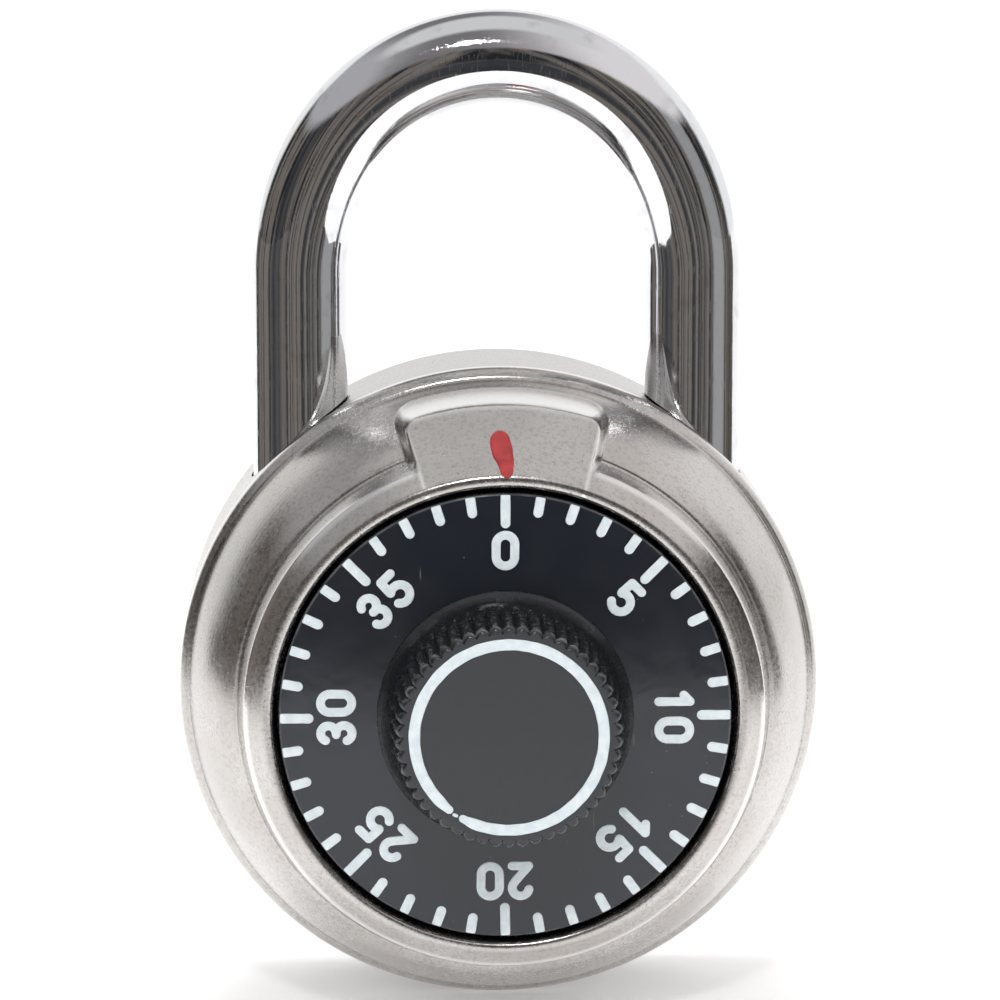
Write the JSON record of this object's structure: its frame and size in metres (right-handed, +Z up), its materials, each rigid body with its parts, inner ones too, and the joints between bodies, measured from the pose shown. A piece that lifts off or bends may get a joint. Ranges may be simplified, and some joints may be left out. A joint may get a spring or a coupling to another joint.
{
  "type": "combination padlock",
  "caption": "Round drawn-steel padlock with a numbered turning dial, ribbed grip knob, loose code wheels and a sliding round-bar shackle.",
  "frame": {"origin": "where the dial's axis meets the flat back face", "axes": "+X to the right seen from the dial side, +Y out of the back (the dial faces -Y), +Z up to the shackle"},
  "size_m": [0.048, 0.0293, 0.0742],
  "materials": {
    "satin_steel": "satin stainless steel, lightly blasted, with a fine speckle",
    "red_paint": "glossy red paint, laid on by hand",
    "plated_steel": "zinc-plated pressed steel",
    "brass": "plain turned brass",
    "spring_steel": "spring steel",
    "black_enamel": "gloss black",
    "white_paint": "raised white paint",
    "black_plastic": "satin black",
    "shackle_chrome": "polished chrome plate"
  },
  "bodies": {
    "housing": {"outer_cover": "satin_steel", "index_mark": "red_paint", "inner_case": "plated_steel", "rear_cover": "satin_steel", "spindle_bush": "brass", "thrust_washer": "spring_steel", "wheel_post": "plated_steel", "wheel_spacer": "brass", "wheel_spring": "spring_steel", "post_clip": "spring_steel", "lever_pivot": "plated_steel", "lever_spring": "spring_steel", "heel_guide": "plated_steel"},
    "dial": {"dial_disc": "black_enamel", "dial_markings": "white_paint", "dial_knob": "black_plastic", "knob_ring": "white_paint", "spindle": "plated_steel", "drive_cam": "brass"},
    "second_wheel": {"wheel_2": "brass"},
    "third_wheel": {"wheel_3": "brass"},
    "lever": {"fence_lever": "plated_steel", "pawl_spring": "spring_steel"},
    "pawl": {"locking_pawl": "plated_steel"},
    "shackle_bar": {"shackle": "shackle_chrome", "heel_clip": "spring_steel"}
  },
  "joints": [
    {"name": "dial_spin", "type": "hinge", "parent": "housing", "child": "dial", "pos_m": [0, 0, 0], "axis": [0, 1, 0], "continuous": true},
    {"name": "wheel_2_pickup", "type": "hinge", "parent": "dial", "child": "second_wheel", "pos_m": [0, 0, 0], "axis": [0, 1, 0], "range_deg": [-150, 180]},
    {"name": "wheel_3_pickup", "type": "hinge", "parent": "second_wheel", "child": "third_wheel", "pos_m": [0, 0, 0], "axis": [0, 1, 0], "range_deg": [-150, 180]},
    {"name": "shackle_lift", "type": "slide", "parent": "housing", "child": "shackle_bar", "axis": [0, 0, 1], "range_m": [0, 0.0102]},
    {"name": "fence_lever_swing", "type": "hinge", "parent": "housing", "child": "lever", "pos_m": [-0.0162, 0, -0.0096], "axis": [0, 1, 0], "range_deg": [0, 7], "stiffness_Nm_per_rad": 0.02, "springref_deg": -17.19},
    {"name": "pawl_slide", "type": "slide", "parent": "lever", "child": "pawl", "axis": [1, 0, 0], "range_m": [0, 0.0032], "deforming": ["pawl_spring"]}
  ],
  "couplings": [
    {"joint": "pawl_slide", "follows": "shackle_lift", "ratio": 0.31}
  ]
}
